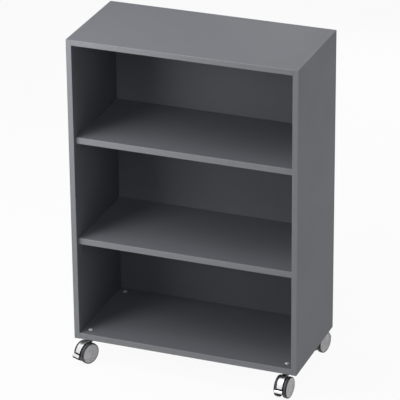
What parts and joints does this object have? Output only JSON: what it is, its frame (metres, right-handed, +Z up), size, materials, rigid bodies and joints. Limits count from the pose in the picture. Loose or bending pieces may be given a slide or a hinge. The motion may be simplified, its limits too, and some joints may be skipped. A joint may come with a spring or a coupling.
{
  "type": "mobile open bookcase",
  "caption": "Open bookcase in anthracite board with two loose shelves between full-height sides, a let-in back panel and braked twin-wheel swivel casters.",
  "frame": {"origin": "on the floor, under the middle of the case", "axes": "+X to the right seen from the open front, +Y to the back panel, +Z up"},
  "size_m": [0.8, 0.4591, 1.182],
  "materials": {
    "board": "anthracite melamine facing on particle board, fine pearl texture, semi-matt",
    "edge_band": "anthracite plastic edge band, satin, rounded edges",
    "pin_steel": "nickel-plated steel, satin",
    "chrome": "polished chrome plate",
    "stem_steel": "zinc-plated steel, turned",
    "wheel_plastic": "light grey moulded plastic, satin",
    "tyre_rubber": "black soft tread, matt"
  },
  "bodies": {
    "carcass": {"side_panel_left": "board", "side_panel_right": "board", "top_panel": "board", "bottom_panel": "board", "back_panel": "board", "side_edge_left": "edge_band", "side_edge_right": "edge_band", "top_edge": "edge_band", "bottom_edge": "edge_band", "shelf_pin_lower_front_left": "pin_steel", "shelf_pin_lower_back_left": "pin_steel", "shelf_pin_lower_front_right": "pin_steel", "shelf_pin_lower_back_right": "pin_steel", "shelf_pin_upper_front_left": "pin_steel", "shelf_pin_upper_back_left": "pin_steel", "shelf_pin_upper_front_right": "pin_steel", "shelf_pin_upper_back_right": "pin_steel", "caster_front_left_bolt": "chrome", "caster_front_left_stem": "stem_steel", "caster_front_right_bolt": "chrome", "caster_front_right_stem": "stem_steel", "caster_back_left_bolt": "chrome", "caster_back_left_stem": "stem_steel", "caster_back_right_bolt": "chrome", "caster_back_right_stem": "stem_steel"},
    "lower_shelf": {"shelf_lower": "board", "shelf_edge_lower": "edge_band"},
    "upper_shelf": {"shelf_upper": "board", "shelf_edge_upper": "edge_band"},
    "front_left_fork": {"caster_front_left_hood": "chrome", "caster_front_left_axle": "stem_steel"},
    "front_left_pedal": {"caster_front_left_pedal": "chrome"},
    "front_left_wheel_left": {"caster_front_left_wheel_left": "wheel_plastic", "caster_front_left_tyre_left": "tyre_rubber"},
    "front_left_wheel_right": {"caster_front_left_wheel_right": "wheel_plastic", "caster_front_left_tyre_right": "tyre_rubber"},
    "front_right_fork": {"caster_front_right_hood": "chrome", "caster_front_right_axle": "stem_steel"},
    "front_right_pedal": {"caster_front_right_pedal": "chrome"},
    "front_right_wheel_left": {"caster_front_right_wheel_left": "wheel_plastic", "caster_front_right_tyre_left": "tyre_rubber"},
    "front_right_wheel_right": {"caster_front_right_wheel_right": "wheel_plastic", "caster_front_right_tyre_right": "tyre_rubber"},
    "back_left_fork": {"caster_back_left_hood": "chrome", "caster_back_left_axle": "stem_steel"},
    "back_left_pedal": {"caster_back_left_pedal": "chrome"},
    "back_left_wheel_left": {"caster_back_left_wheel_left": "wheel_plastic", "caster_back_left_tyre_left": "tyre_rubber"},
    "back_left_wheel_right": {"caster_back_left_wheel_right": "wheel_plastic", "caster_back_left_tyre_right": "tyre_rubber"},
    "back_right_fork": {"caster_back_right_hood": "chrome", "caster_back_right_axle": "stem_steel"},
    "back_right_pedal": {"caster_back_right_pedal": "chrome"},
    "back_right_wheel_left": {"caster_back_right_wheel_left": "wheel_plastic", "caster_back_right_tyre_left": "tyre_rubber"},
    "back_right_wheel_right": {"caster_back_right_wheel_right": "wheel_plastic", "caster_back_right_tyre_right": "tyre_rubber"}
  },
  "joints": [
    {"name": "lower_shelf_lift", "type": "slide", "parent": "carcass", "child": "lower_shelf", "axis": [0, 0, 1], "range_m": [0, 0.032]},
    {"name": "upper_shelf_lift", "type": "slide", "parent": "carcass", "child": "upper_shelf", "axis": [0, 0, 1], "range_m": [0, 0.032]},
    {"name": "front_left_swivel", "type": "hinge", "parent": "carcass", "child": "front_left_fork", "pos_m": [-0.355, -0.154, 0.09], "axis": [0, 0, 1], "continuous": true},
    {"name": "front_left_wheel_left_roll", "type": "hinge", "parent": "front_left_fork", "child": "front_left_wheel_left", "pos_m": [-0.36395, -0.1741, 0.0375], "axis": [0.9135, -0.4067, 0], "continuous": true},
    {"name": "front_left_wheel_right_roll", "type": "hinge", "parent": "front_left_fork", "child": "front_left_wheel_right", "pos_m": [-0.36395, -0.1741, 0.0375], "axis": [0.9135, -0.4067, 0], "continuous": true},
    {"name": "front_left_brake", "type": "hinge", "parent": "front_left_fork", "child": "front_left_pedal", "pos_m": [-0.37485, -0.19858, 0.03421], "axis": [0.9135, -0.4067, 0], "range_deg": [0, 15]},
    {"name": "front_right_swivel", "type": "hinge", "parent": "carcass", "child": "front_right_fork", "pos_m": [0.355, -0.154, 0.09], "axis": [0, 0, 1], "continuous": true},
    {"name": "front_right_wheel_left_roll", "type": "hinge", "parent": "front_right_fork", "child": "front_right_wheel_left", "pos_m": [0.35308, -0.17592, 0.0375], "axis": [0.9962, -0.0872, 0], "continuous": true},
    {"name": "front_right_wheel_right_roll", "type": "hinge", "parent": "front_right_fork", "child": "front_right_wheel_right", "pos_m": [0.35308, -0.17592, 0.0375], "axis": [0.9962, -0.0872, 0], "continuous": true},
    {"name": "front_right_brake", "type": "hinge", "parent": "front_right_fork", "child": "front_right_pedal", "pos_m": [0.35075, -0.20261, 0.03421], "axis": [0.9962, -0.0872, 0], "range_deg": [0, 15]},
    {"name": "back_left_swivel", "type": "hinge", "parent": "carcass", "child": "back_left_fork", "pos_m": [-0.355, 0.154, 0.09], "axis": [0, 0, 1], "continuous": true},
    {"name": "back_left_wheel_left_roll", "type": "hinge", "parent": "back_left_fork", "child": "back_left_wheel_left", "pos_m": [-0.34605, 0.1741, 0.0375], "axis": [-0.9135, 0.4067, 0], "continuous": true},
    {"name": "back_left_wheel_right_roll", "type": "hinge", "parent": "back_left_fork", "child": "back_left_wheel_right", "pos_m": [-0.34605, 0.1741, 0.0375], "axis": [-0.9135, 0.4067, 0], "continuous": true},
    {"name": "back_left_brake", "type": "hinge", "parent": "back_left_fork", "child": "back_left_pedal", "pos_m": [-0.33515, 0.19858, 0.03421], "axis": [-0.9135, 0.4067, 0], "range_deg": [0, 15]},
    {"name": "back_right_swivel", "type": "hinge", "parent": "carcass", "child": "back_right_fork", "pos_m": [0.355, 0.154, 0.09], "axis": [0, 0, 1], "continuous": true},
    {"name": "back_right_wheel_left_roll", "type": "hinge", "parent": "back_right_fork", "child": "back_right_wheel_left", "pos_m": [0.35957, 0.17552, 0.0375], "axis": [-0.9781, 0.2079, 0], "continuous": true},
    {"name": "back_right_wheel_right_roll", "type": "hinge", "parent": "back_right_fork", "child": "back_right_wheel_right", "pos_m": [0.35957, 0.17552, 0.0375], "axis": [-0.9781, 0.2079, 0], "continuous": true},
    {"name": "back_right_brake", "type": "hinge", "parent": "back_right_fork", "child": "back_right_pedal", "pos_m": [0.36515, 0.20173, 0.03421], "axis": [-0.9781, 0.2079, 0], "range_deg": [0, 15]}
  ]
}
